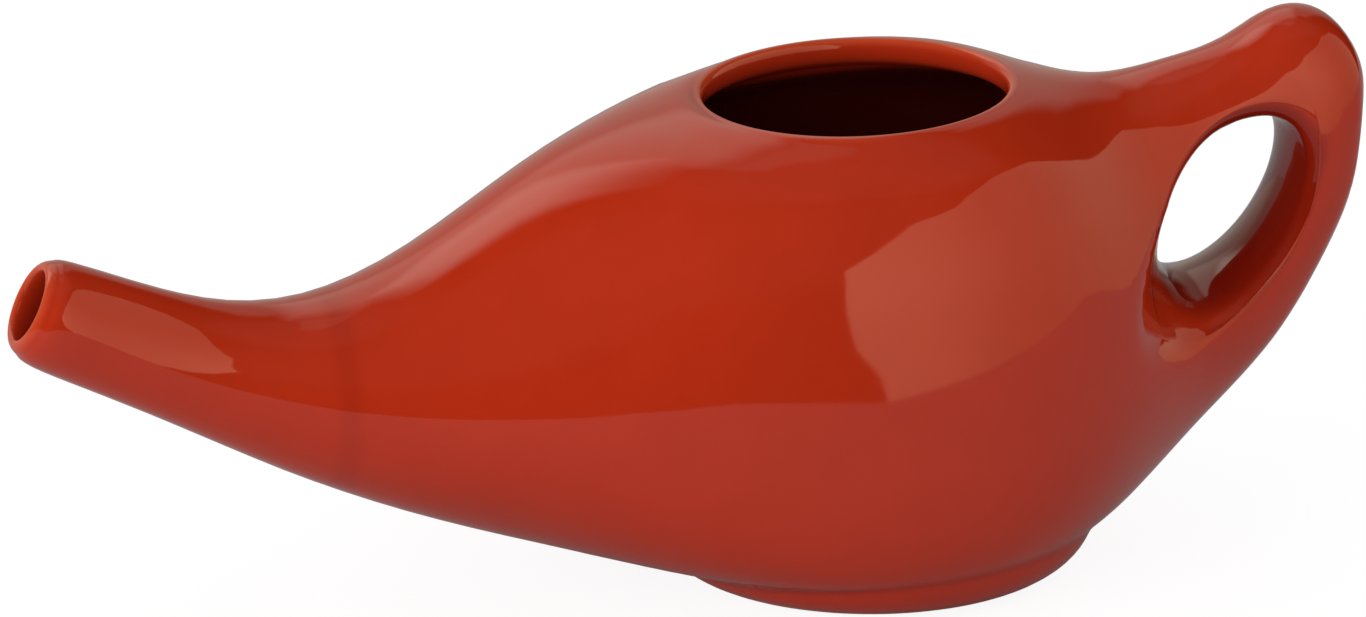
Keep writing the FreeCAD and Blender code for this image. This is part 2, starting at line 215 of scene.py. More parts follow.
class Cage:
    """A coarse mesh of four-sided faces, open in edit mode while it is made ring by ring."""

    def __init__(self, name: str) -> None:
        """Starts an empty mesh in edit mode."""
        bpy.ops.object.select_all(action="DESELECT")
        bpy.ops.mesh.primitive_circle_add(vertices=4, radius=MM, location=(0, 0, 0))
        self.piece = bpy.context.object
        self.piece.name = self.piece.data.name = name
        self.sides: dict[Side, list[Vector]] = {side: [] for side in Side}
        bpy.ops.object.mode_set(mode="EDIT")
        bpy.ops.mesh.select_all(action="SELECT")
        bpy.ops.mesh.delete(type="VERT")
        bpy.ops.mesh.select_mode(type="VERT")

    def select(self, wanted: Callable[[Vector], bool]) -> None:
        """Selects the vertices at wanted places."""
        select_points(self.piece, wanted)

    def selected(self) -> list[Vector]:
        """Gives the places of the selected vertices."""
        edit = bmesh.from_edit_mesh(self.piece.data)
        return [vertex.co.copy() for vertex in edit.verts if vertex.select]

    def turn(self, degrees: float, axis: str, centre: Vector) -> None:
        """Turns the selection about an axis through a centre."""
        bpy.ops.transform.rotate(value=math.radians(degrees), orient_axis=axis, center_override=centre)

    def resize(self, scale: tuple[float, float, float], centre: Vector) -> None:
        """Scales the selection about a centre."""
        bpy.ops.transform.resize(value=scale, center_override=centre)

    def keep(self, side: Side) -> list[Vector]:
        """Notes which face of the clay the selected ring lies on, and gives its points."""
        ring = self.selected()
        self.sides[side] += ring
        return ring

    def upright(self, oval: Upright, count: int) -> list[Vector]:
        """Adds an upright ring.

        Args:
            oval: Its size, place and lean.
            count: How many points it has.

        Returns:
            The points of the ring.
        """
        centre = Vector((oval.x, 0, oval.z)) * MM
        bpy.ops.mesh.select_all(action="DESELECT")
        bpy.ops.mesh.primitive_circle_add(vertices=count, radius=oval.half * MM, location=centre,
                                          rotation=(0, math.pi / 2, 0))
        circle = self.selected()
        for sign, height in ((1, oval.above), (-1, oval.below)):
            half = [point for point in circle if sign * (point.z - centre.z) > SAME_PLACE]
            self.select(near(half))
            self.resize((1, 1, height / oval.half), centre)
        heights = {True: oval.above / oval.half, False: oval.below / oval.half}
        shaped = [Vector((point.x, point.y, centre.z + (point.z - centre.z) * heights[point.z > centre.z]))
                  for point in circle]
        self.select(near(shaped))
        self.turn(-oval.lean, "Y", centre)
        return self.keep(oval.side)

    def level(self, oval: Level, count: int) -> list[Vector]:
        """Adds a level ring.

        Args:
            oval: Its size, place and climb.
            count: How many points it has.

        Returns:
            The points of the ring.
        """
        centre = Vector((oval.x, 0, oval.z)) * MM
        bpy.ops.mesh.select_all(action="DESELECT")
        bpy.ops.mesh.primitive_circle_add(vertices=count, radius=MM, location=centre)
        self.resize((oval.long, oval.wide, 1), centre)
        self.turn(oval.climb, "Y", centre)
        return self.keep(oval.side)

    def almond(self, oval: Almond, count: int) -> list[Vector]:
        """Adds a ring round the eye of the handle.

        Args:
            oval: Its size, place, lean and slant.
            count: How many points it has.

        Returns:
            The points of the ring.
        """
        centre = Vector((oval.x, oval.y, oval.z)) * MM
        bpy.ops.mesh.select_all(action="DESELECT")
        bpy.ops.mesh.primitive_circle_add(vertices=count, radius=MM, location=centre,
                                          rotation=(math.pi / 2, 0, 0))
        self.resize((oval.long, 1, oval.wide), centre)
        self.turn(oval.lean, "Y", centre)
        self.resize((1 / math.cos(math.radians(oval.slant)), 1, 1), centre)
        self.turn(oval.slant, "Z", centre)
        return self.keep(oval.side)

    def bridge(self, rings: list[list[Vector]]) -> None:
        """Bridges each ring to the next."""
        for one, other in zip(rings, rings[1:]):
            self.select(near(one + other))
            bpy.ops.mesh.bridge_edge_loops()

    def open_block(self, corners: list[Vector]) -> list[Vector]:
        """Deletes the faces that have all their corners among some points.

        Args:
            corners: The points.

        Returns:
            The points round the hole that is left.
        """
        wanted = near(corners)
        edit = bmesh.from_edit_mesh(self.piece.data)
        for vertex in edit.verts:
            vertex.select_set(False)
        edit.select_flush(False)
        block = {face for face in edit.faces if all(wanted(vertex.co) for vertex in face.verts)}
        hole = [vertex.co.copy() for vertex in {vertex for face in block for vertex in face.verts}
                if any(face not in block for face in vertex.link_faces)]
        bpy.ops.mesh.select_mode(type="FACE")
        for face in block:
            face.select_set(True)
        bmesh.update_edit_mesh(self.piece.data)
        bpy.ops.mesh.delete(type="FACE")
        bpy.ops.mesh.select_mode(type="VERT")
        return hole

    def cap(self, ring: list[Vector], span: int) -> None:
        """Fills a ring with a grid of faces."""
        self.select(near(ring))
        bpy.ops.mesh.fill_grid(span=span)

    def close(self) -> bpy.types.Object:
        """Turns the faces outwards, leaves edit mode and names each side's points as a vertex group.

        Returns:
            The finished cage.
        """
        bpy.ops.mesh.select_all(action="SELECT")
        bpy.ops.mesh.normals_make_consistent(inside=False)
        bpy.ops.object.mode_set(mode="OBJECT")
        for side, points in self.sides.items():
            wanted = near(points)
            group = self.piece.vertex_groups.new(name=side.value)
            group.add([v.index for v in self.piece.data.vertices if wanted(v.co)], 1, "REPLACE")
        return self.piece


@dataclass(frozen=True)
class OrangeGlaze:
    """Orange-red glaze, dipped and fired to a hard gloss.

    It mirrors sharply, runs thin and pale over edges and pools dark in creases. Painted shade darkens the
    eye of the handle, the hollow inside and a band round the spout where it was joined to the bowl.
    """

    body: str = "c03216"
    mottle: str = "b52d12"
    thin: str = "d6552e"
    # Glaze pooled in creases; also the colour of the painted shade in the eye and round the spout's joint
    pooled_and_shade: str = "8f1d0b"
    # Painted shade for the hollow inside the pot
    hollow_shade: str = "561409"
    # A band of painted shade round the spout where it joins the bowl: its place, half width and strength
    joint_shade_x: float = -75.6 * MM
    joint_shade_half: float = 1.5 * MM
    joint_shade_tone: float = 0.2
    ior: float = 1.5
    roughness: float = 0.05
    wave_size: float = 16 * MM
    wave_height: float = 0.05 * MM
    peel_size: float = 1.6 * MM
    peel_height: float = 0.0015 * MM
    mottle_size: float = 9 * MM

    def build(self) -> bpy.types.Material:
        """Makes the material.

        Returns:
            The finished material.
        """
        material, tree = new_material("orange_glaze")
        place = add_node(tree, "ShaderNodeTexCoord").outputs["Object"]
        patches = add_node(tree, "ShaderNodeTexNoise", {
            "Vector": place, "Scale": 1 / self.mottle_size, "Detail": 4.0, "Roughness": 0.6})
        colour = add_node(tree, "ShaderNodeMix", {
            "Factor": patches.outputs["Fac"], "A": linear(self.body),
            "B": linear(self.mottle)}, data_type="RGBA")
        masks = [add_node(tree, "ShaderNodeAttribute", attribute_name=name).outputs["Fac"]
                 for name in ("thin", "pooled_and_shade", "hollow_shade")]
        # The pooled colour also serves as painted shade at the spout's joint and in the eye; the hollow has
        # its own painted shade
        tones = (self.pooled_and_shade, self.thin, self.pooled_and_shade, self.hollow_shade)
        for mask, tone in zip([self.joint_shade(tree, place)] + masks, tones):
            colour = add_node(tree, "ShaderNodeMix", {
                "Factor": mask, "A": colour.outputs["Result"], "B": linear(tone)}, data_type="RGBA")
        waves = add_node(tree, "ShaderNodeTexNoise", {
            "Vector": place, "Scale": 1 / self.wave_size, "Detail": 1.0})
        bump = add_node(tree, "ShaderNodeBump", {
            "Height": waves.outputs["Fac"], "Distance": self.wave_height})
        peel = add_node(tree, "ShaderNodeTexNoise", {
            "Vector": place, "Scale": 1 / self.peel_size, "Detail": 2.0})
        bump = add_node(tree, "ShaderNodeBump", {
            "Height": peel.outputs["Fac"], "Distance": self.peel_height, "Normal": bump.outputs["Normal"]})
        shader = add_node(tree, "ShaderNodeBsdfPrincipled", {
            "Base Color": colour.outputs["Result"], "Roughness": self.roughness, "IOR": self.ior,
            "Normal": bump.outputs["Normal"]})
        add_node(tree, "ShaderNodeOutputMaterial", {"Surface": shader.outputs["BSDF"]})
        return material

    def joint_shade(self, tree: bpy.types.NodeTree, place: bpy.types.NodeSocket) -> bpy.types.NodeSocket:
        """Makes the mask of a band of painted shade round the spout where it joins the bowl.

        Args:
            tree: The glaze's node tree.
            place: The socket that gives the place on the pot.

        Returns:
            The socket that gives the mask.
        """
        along = add_node(tree, "ShaderNodeSeparateXYZ", {"Vector": place}).outputs["X"]
        past = add_node(tree, "ShaderNodeMath", {0: along, 1: self.joint_shade_x}, operation="SUBTRACT")
        away = add_node(tree, "ShaderNodeMath", {0: past.outputs["Value"]}, operation="ABSOLUTE")
        mask = add_node(tree, "ShaderNodeMapRange", {
            "Value": away.outputs["Value"], "From Min": 0.4 * self.joint_shade_half,
            "From Max": 1.6 * self.joint_shade_half, "To Min": self.joint_shade_tone, "To Max": 0.0},
                        interpolation_type="SMOOTHSTEP")
        return mask.outputs["Result"]


@dataclass(frozen=True)
class BareClay:
    """Buff stoneware, wiped free of glaze before firing: a dry, matt, gritty ring under the foot."""

    body: str = "cdb294"
    grit: str = "a98a6a"
    roughness: float = 0.85
    grit_size: float = 0.7 * MM
    grit_height: float = 0.04 * MM

    def build(self) -> bpy.types.Material:
        """Makes the material.

        Returns:
            The finished material.
        """
        material, tree = new_material("bare_stoneware")
        place = add_node(tree, "ShaderNodeTexCoord").outputs["Object"]
        grit = add_node(tree, "ShaderNodeTexNoise", {
            "Vector": place, "Scale": 1 / self.grit_size, "Detail": 3.0})
        colour = add_node(tree, "ShaderNodeMix", {
            "Factor": grit.outputs["Fac"], "A": linear(self.body),
            "B": linear(self.grit)}, data_type="RGBA")
        bump = add_node(tree, "ShaderNodeBump", {
            "Height": grit.outputs["Fac"], "Distance": self.grit_height})
        shader = add_node(tree, "ShaderNodeBsdfPrincipled", {
            "Base Color": colour.outputs["Result"], "Roughness": self.roughness,
            "Normal": bump.outputs["Normal"]})
        add_node(tree, "ShaderNodeOutputMaterial", {"Surface": shader.outputs["BSDF"]})
        return material


class Surface:
    """A mesh's points in millimetres, its normals and its edges both ways, as arrays."""

    def __init__(self, mesh: bpy.types.Mesh) -> None:
        """Reads the mesh."""
        self.mesh = mesh
        self.count = len(mesh.vertices)
        self.places = self.read(mesh.vertices, "co", 3, float) / MM
        self.normals = self.read(mesh.vertices, "normal", 3, float)
        pairs = self.read(mesh.edges, "vertices", 2, int)
        self.one = numpy.concatenate([pairs[:, 0], pairs[:, 1]])
        self.other = numpy.concatenate([pairs[:, 1], pairs[:, 0]])
        self.valence = numpy.bincount(self.one, minlength=self.count)

    def read(self, rows: bpy.types.bpy_prop_collection, name: str, width: int, kind: type) -> numpy.ndarray:
        """Reads a property of all vertices or edges.

        Args:
            rows: The vertices or edges.
            name: The property.
            width: How many numbers it has.
            kind: What the numbers are.

        Returns:
            One row for each vertex or edge.
        """
        values = numpy.empty(len(rows) * width, dtype=kind)
        rows.foreach_get(name, values)
        return values.reshape(-1, width)

    def bend(self) -> numpy.ndarray:
        """Gives the mean bend at each point, in 1/mm: above 0 over an edge, below 0 in a crease."""
        steps = self.places[self.other] - self.places[self.one]
        bend = -2 * (steps * self.normals[self.one]).sum(axis=1) / (steps ** 2).sum(axis=1)
        return numpy.bincount(self.one, weights=bend, minlength=self.count) / self.valence

    def blur(self, values: numpy.ndarray, rounds: int) -> numpy.ndarray:
        """Blurs one value a point over the neighbours.

        Args:
            values: The values.
            rounds: How many times each is drawn half way to its neighbours' mean.

        Returns:
            The blurred values.
        """
        for _ in range(rounds):
            near_sum = numpy.bincount(self.one, weights=values[self.other], minlength=self.count)
            values = 0.5 * values + 0.5 * near_sum / self.valence
        return values

    def mark(self, name: str, values: numpy.ndarray) -> None:
        """Keeps one value a point as an attribute that a material can read."""
        mask = self.mesh.attributes.new(name, "FLOAT", "POINT")
        mask.data.foreach_set("value", values.astype(numpy.float32))


@dataclass
class Pot:
    """The fired pot: bowl, spout and looped handle in one piece of clay, sizes in millimetres."""

    sides: int = 24
    foot_sides: int = 28
    eye_sides: int = 16
    mouth_x: float = -2.2
    mouth_z: float = 67.55
    mouth_long: float = 20.65
    mouth_wide: float = 19.85
    mouth_climb: float = 1.5
    lip_flank: tuple[float, float] = (22.2, 29)
    lip_flank_z: float = 60
    tip_x: float = -117.1
    tip_z: float = 46.1
    tip_lean: float = 26.0
    # tip_fade: how far the painted shade of the hollow fades out towards the spout's tip
    tip_fade: float = 12
    foot_bare: tuple[float, float] = (19.5, 25.5)
    foot_bare_z: float = 0.6
    eye_x: float = 48.3
    eye_z: float = 49
    eye_lean: float = 58
    waist_x: float = 48
    waist_z: float = 49.2
    rim_x: float = 33
    rim_y: tuple[float, float] = (7.5, 15)
    rim_reach: float = 21
    # eye_deep, eye_fade, eye_low and eye_reach bound the painted shade in the eye of the handle
    eye_deep: float = 12.5
    eye_fade: float = 4
    eye_low: float = 34
    eye_reach: float = 16
    # hollow_floor and hollow_floor_half also bound the painted shade on the hollow's floor
    hollow_floor: tuple[float, float] = (3.5, 14)
    hollow_floor_half: float = 25
    end_wall_x: float = 25
    end_wall_half: float = 19
    # The middle line of the hollow, from the tip of the spout to the end wall: places along X, and heights
    spine: tuple[tuple[float, float], ...] = (
        (-117, 46), (-95, 36.2), (-80, 32.7), (-65, 30), (-47, 29.2), (0, 29.8), (20, 30.5), (36, 34))
    # Bends are in 1/mm: over an edge they are above 0, and in a crease below 0
    thin_bend: float = 0.2
    thin_span: float = 0.45
    thin_most: float = 0.55
    pooled_bend: float = -0.03
    pooled_span: float = 0.12

    def outer_tube(self, cage: Cage) -> list[list[Vector]]:
        """Makes the outside of spout, bowl and handle as one tube, closed at the handle's nose."""
        ovals = (
            Upright(-114.6, 44.9, 7.15, 7.15, 7.15, 25.5), Upright(-107.6, 41.6, 7.9, 7.9, 7.9, 22.5),
            Upright(-95, 36.2, 8.8, 8.8, 8.8, 18), Upright(-80.4, 32.7, 12.4, 11.1, 12.8, 10.5),
            Upright(-65, 30, 18.1, 19.2, 16.8, 5), Upright(-47, 29.2, 25.6, 30.8, 21.9, 2),
            Upright(-33, 28.6, 31, 36.5, 25, 4.5), Upright(-22, 28.9, 33.8, 39, 26.3, 2.2),
            Upright(-11.2, 29.4, 35.6, 40.2, 27.8, 0.4), Upright(-1, 29.8, 36.2, 40.7, 28.5, -1.6),
            Upright(9.6, 29.8, 35.4, 40, 28.5, -3.7), Upright(20.2, 30.2, 33.2, 38.2, 28.2, -5.4),
            Upright(29.8, 32, 27.2, 35, 27, -7.5), Upright(34.4, 34.8, 22.6, 31.2, 26.5, -6.4),
            Upright(38.3, 36.2, 19.5, 30.3, 24.7, -4.8), Upright(44.5, 39.6, 15, 27.8, 22.2, -5.4),
            Upright(50, 44.8, 12.5, 24.6, 21.3, -6.2), Upright(55, 50, 11.2, 21.2, 20.7, -7.3),
            Upright(59.2, 55.2, 10.2, 18.3, 19, -8), Upright(62.4, 58.7, 9.6, 15.3, 17, -7.4),
            Upright(65.1, 61.2, 9, 11.6, 13.5, -6), Upright(67.2, 62, 6.8, 6.8, 7),
            Upright(68.2, 62.1, 3.2, 3.2, 3),
        )
        rings = [cage.upright(oval, self.sides) for oval in ovals]
        cage.bridge(rings)
        cage.cap(rings[-1], self.sides // 4)
        return rings

    def mouth_ring(self, out: float, down: float, side: Side) -> Level:
        """Gives a ring round the mouth, so much outside its wall and below its rim."""
        grow = ring_growth(self.sides)
        long, wide = (self.mouth_long + out) * grow, (self.mouth_wide + out) * grow
        return Level(self.mouth_z - down, long, wide, self.mouth_x, self.mouth_climb, side)

    def mouth(self, cage: Cage, body: list[list[Vector]]) -> list[list[Vector]]:
        """Opens the top, turns the rounded lip over and lines the hollow.

        Args:
            cage: The mesh.
            body: The rings of the bowl.

        Returns:
            The rings of the hollow's wall.
        """
        reach = self.sides // 4 + 1
        tops = [point for ring in body for point in sorted(ring, key=lambda point: -point.z)[:reach]]
        lip = [self.mouth_ring(5.2, 1.9, Side.OUTSIDE), self.mouth_ring(3, 0.7, Side.OUTSIDE)]
        lip += [self.mouth_ring(out, down, Side.BY_HAND) for out, down in
                ((1.75, 0.2), (0.95, 0), (0.3, 0.4), (0, 1.2), (0, 2.6), (0.5, 3.6), (1.9, 4.3))]
        wall = [Level(z, long, wide, x, 0, Side.INSIDE) for z, long, wide, x in
                ((62, 28.4, 22.5, -1.1), (55.5, 38.6, 29.5, -5), (47, 39, 32, -5), (38, 39, 33.5, -5),
                 (29, 39, 33.5, -5), (20, 38.5, 33, -4), (12, 36.3, 31, -4), (7.4, 28.3, 24.5, -2),
                 (5.4, 16, 14, -1))]
        hole = cage.open_block(tops)
        rings = [cage.level(oval, self.sides) for oval in lip + wall]
        cage.bridge([hole] + rings)
        cage.cap(rings[-1], self.sides // 4)
        return rings[len(lip):]

    def spout_bore(self, cage: Cage, wall: list[list[Vector]], tip: list[Vector]) -> None:
        """Opens the hollow towards the spout and lines the bore out to the rounded edge of the tip.

        Args:
            cage: The mesh.
            wall: The rings of the hollow's wall.
            tip: The outermost ring of the spout.
        """
        reach = self.sides // 4 + 1
        doorway = cage.open_block([point for ring in wall[:reach]
                                   for point in sorted(ring, key=lambda point: point.x)[:reach]])
        steps = ((-47, 29, 21.4, 26.3, 17.9, 2), (-65, 30, 14.1, 15.2, 12.8, 5),
                 (-80.4, 32.7, 8.4, 7.1, 8.8, 10.5), (-95, 36.2, 5.4, 5.4, 5.4, 18),
                 (-107.6, 41.6, 5.1, 5.1, 5.1, 22.5))
        bore = [cage.upright(Upright(*step, Side.INSIDE), self.sides) for step in steps]
        lean = math.radians(self.tip_lean)
        edge = []
        for radius, back in ((6.95, 1.5), (6.4, 0.5), (5.7, 0.05), (5.15, 0.1), (4.8, 0.7), (4.85, 3)):
            x = self.tip_x + back * math.cos(lean)
            z = self.tip_z - back * math.sin(lean)
            size = radius * ring_growth(self.sides)
            oval = Upright(x, z, size, size, size, self.tip_lean, Side.BY_HAND)
            edge.append(cage.upright(oval, self.sides))
        cage.bridge([tip] + edge + bore[::-1] + [doorway])

    def foot(self, cage: Cage, body: list[list[Vector]]) -> None:
        """Opens the bottom and turns the foot: a crease, a low foot, its ring and the hollow under it.

        Args:
            cage: The mesh.
            body: The rings of the bowl.
        """
        reach = self.foot_sides // 2 - self.sides // 4 + 1
        lowest = [sorted(ring, key=lambda point: point.z)[:reach] for ring in body]
        hole = cage.open_block([point for points in lowest for point in points])
        grow = ring_growth(self.foot_sides)
        steps = ((8.6, 32.6), (6.2, 30.9), (5, 30.1), (2.6, 28.5), (0.85, 25.8), (0.1, 23.4), (0, 22.4),
                 (0, 20.9), (0.35, 20.1), (1.1, 19.6), (1.4, 18.6), (1.4, 12))
        rings = [cage.level(Level(z, radius * grow, radius * grow), self.foot_sides) for z, radius in steps]
        cage.bridge([hole] + rings)
        cage.cap(rings[-1], self.foot_sides // 4)

    def eye(self, cage: Cage, grip: list[list[Vector]]) -> None:
        """Opens both sides of the handle and lines the eye, which is narrowest half way through.

        Args:
            cage: The mesh.
            grip: The rings of the handle on both sides of the eye.
        """
        reach = self.eye_sides // 4 + 1
        waist = cage.almond(Almond(self.waist_x, 0, self.waist_z, 12.9, 7.9, self.eye_lean), self.eye_sides)
        steps = ((13.2, 18.8, 12.6, 23.5), (12.4, 16.6, 11, 22), (10.2, 14.6, 9.4, 14), (5, 13.2, 8.2, 0))
        for sign in (1, -1):
            corners = []
            for ring in grip:
                half = (point for point in ring if sign * point.y > -SAME_PLACE)
                corners += sorted(half, key=lambda point: -point.z)[3:3 + reach]
            hole = cage.open_block(corners)
            flare = [Almond(self.eye_x, sign * y, self.eye_z, long, wide, self.eye_lean, sign * slant)
                     for y, long, wide, slant in steps]
            cage.bridge([hole] + [cage.almond(oval, self.eye_sides) for oval in flare] + [waist])

    def skins(self, node: bpy.types.Object) -> dict[Side, bpy.types.Object]:
        """Splits a copy of the CAD solid's surface into the clay's outside and its inside.

        Args:
            node: The CAD node.

        Returns:
            The two surfaces.
        """
        spine_x, spine_z = zip(*self.spine)
        outside = node.copy()
        outside.data = node.data.copy()
        outside.parent = None
        outside.name = "outside_skin"
        bpy.context.scene.collection.objects.link(outside)
        pick(outside)
        bpy.ops.object.mode_set(mode="EDIT")
        bpy.ops.mesh.select_mode(type="FACE")
        bpy.ops.mesh.select_all(action="SELECT")
        bpy.ops.mesh.remove_doubles(threshold=0.02 * MM)
        bpy.ops.mesh.select_all(action="DESELECT")
        edit = bmesh.from_edit_mesh(outside.data)
        for face in edit.faces:
            centre = face.calc_center_median()
            x, y, z = (value / MM for value in centre)
            if x > spine_x[-1] or z < self.hollow_floor[0]:
                continue
            spine = Vector((centre.x, 0, float(numpy.interp(x, spine_x, spine_z)) * MM))
            end_wall = x > self.end_wall_x and face.normal.x < -0.3 and abs(y) < self.end_wall_half
            if end_wall or (centre - spine).dot(face.normal) < 0:
                face.select_set(True)
        bmesh.update_edit_mesh(outside.data)
        bpy.ops.mesh.separate(type="SELECTED")
        bpy.ops.object.mode_set(mode="OBJECT")
        inside = next(piece for piece in bpy.context.selected_objects if piece is not outside)
        return {Side.OUTSIDE: outside, Side.INSIDE: inside}

    def fit(self, piece: bpy.types.Object, skins: dict[Side, bpy.types.Object]) -> None:
        """Refines the cage and draws it onto the clay's two skins, then takes the skins away.

        Args:
            piece: The cage.
            skins: The outside and the inside of the CAD solid.
        """
        pick(piece)
        for _ in range(2):
            refine = piece.modifiers.new("refine", "SUBSURF")
            refine.levels = refine.render_levels = 1
            bpy.ops.object.modifier_apply(modifier=refine.name)
            for side, skin in skins.items():
                draw = piece.modifiers.new("draw", "SHRINKWRAP")
                draw.target = skin
                draw.vertex_group = side.value
                bpy.ops.object.modifier_apply(modifier=draw.name)
        for skin in skins.values():
            bpy.data.objects.remove(skin)
        bpy.ops.object.mode_set(mode="EDIT")
        bpy.ops.mesh.select_mode(type="VERT")
        select_points(piece, self.wiped)
        bpy.ops.mesh.vertices_smooth(factor=0.5, repeat=14)
        bpy.ops.object.mode_set(mode="OBJECT")
        bpy.ops.object.shade_smooth()

    def wiped(self, place: Vector) -> bool:
        """Says whether a wet sponge rounded a place off: on the rims of the eye, or outside the lip."""
        x, y, z = place / MM
        eye_rim = self.rim_y[0] < abs(y) < self.rim_y[1] and x > self.rim_x
        eye_rim &= math.hypot(x - self.eye_x, z - self.eye_z) < self.rim_reach
        around = math.hypot(x - self.mouth_x, y)
        lip_flank = z > self.lip_flank_z and self.lip_flank[0] < around < self.lip_flank[1]
        return eye_rim or lip_flank

    def paint(self, piece: bpy.types.Object) -> None:
        """Paints where the glaze ran thin and where it pooled, and paints shade into the eye and the
        hollow.

        Args:
            piece: The pot.
        """
        surface = Surface(piece.data)
        x, y, z = surface.places.T
        bend = surface.blur(surface.bend(), 4)
        thin = numpy.clip((bend - self.thin_bend) / self.thin_span, 0, self.thin_most)
        pooled_and_shade = numpy.clip((self.pooled_bend - bend) / self.pooled_span, 0, 1)
        # Painted shade in the eye of the handle: darker the deeper into the eye, put into the same mask as
        # the pooled glaze
        from_eye = surface.places - (self.eye_x, 0, self.waist_z)
        faces_eye = (from_eye * surface.normals * (1, 0, 1)).sum(axis=1) < 0
        in_eye = faces_eye & (abs(y) < self.eye_deep) & (z > self.eye_low)
        in_eye &= numpy.hypot(from_eye[:, 0], from_eye[:, 2]) < self.eye_reach
        pooled_and_shade = numpy.where(in_eye, numpy.clip((self.eye_deep - abs(y)) / self.eye_fade, 0, 1), pooled_and_shade)
        # Painted shade in the hollow inside the pot and on its floor, fading out towards the spout's tip
        inside = piece.vertex_groups[Side.INSIDE.value].index
        hollow_shade = numpy.array([float(inside in {entry.group for entry in vertex.groups})
                            for vertex in piece.data.vertices])
        low, high = self.hollow_floor
        hollow_shade[(abs(x) < self.hollow_floor_half) & (z > low) & (z < high) & (surface.normals[:, 2] > 0.3)] = 1
        hollow_shade *= numpy.clip((x - self.tip_x) / self.tip_fade, 0, 1)
        for name, share in (("thin", thin), ("pooled_and_shade", pooled_and_shade), ("hollow_shade", hollow_shade)):
            surface.mark(name, surface.blur(share, 3))

    def dress(self, piece: bpy.types.Object) -> None:
        """Gives the pot its glaze, and the ring it stands on its bare clay."""
        piece.data.materials.append(OrangeGlaze().build())
        piece.data.materials.append(BareClay().build())
        inner, outer = self.foot_bare
        for face in piece.data.polygons:
            radius = face.center.xy.length / MM
            face.material_index = int(face.center.z < self.foot_bare_z * MM and inner < radius < outer)

    def build(self) -> bpy.types.Object:
        """Models, fits and dresses the pot.

        Returns:
            The finished pot.
        """
        cage = Cage("glazed_pot")
        rings = self.outer_tube(cage)
        body, grip = rings[6:13], rings[14:19]
        wall = self.mouth(cage, body)
        self.spout_bore(cage, wall, rings[0])
        self.foot(cage, body)
        self.eye(cage, grip)
        piece = cage.close()
        self.fit(piece, self.skins(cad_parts["pot"]))
        self.paint(piece)
        self.dress(piece)
        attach(piece, "root")
        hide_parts("pot")
        return piece


@dataclass(frozen=True)
class Glow:
    """A soft-edged light patch on the studio's dome, in degrees: azimuth from the front to the right."""

    azimuth: float
    elevation: float
    half_azimuth: float
    half_elevation: float
    soft: float
    radiance: float

    def at(self, azimuth: float, elevation: float) -> float:
        """Gives the patch's radiance in a direction."""
        aside = abs((azimuth - self.azimuth + 180) % 360 - 180) - self.half_azimuth
        over = abs(elevation - self.elevation) - self.half_elevation
        away = math.hypot(max(aside, 0), max(over, 0)) if max(aside, over) > 0 else max(aside, over)
        return self.radiance * (1 - smooth_step(away, -self.soft / 2, self.soft / 2))


@dataclass(frozen=True)
class Lamp:
    """A soft round lamp: azimuth from the front to the right and elevation in degrees, power in watts."""

    name: str
    azimuth: float
    elevation: float
    power: float
    width: float = 1.2
    distance: float = 2


def direction(azimuth: float, elevation: float) -> Vector:
    """Gives the direction at an azimuth from the front to the right, and an elevation.

    Args:
        azimuth: The azimuth in degrees.
        elevation: The elevation in degrees.

    Returns:
        A vector of length 1.
    """
    turn, lift = math.radians(azimuth), math.radians(elevation)
    return Vector((math.sin(turn) * math.cos(lift), -math.cos(turn) * math.cos(lift), math.sin(lift)))


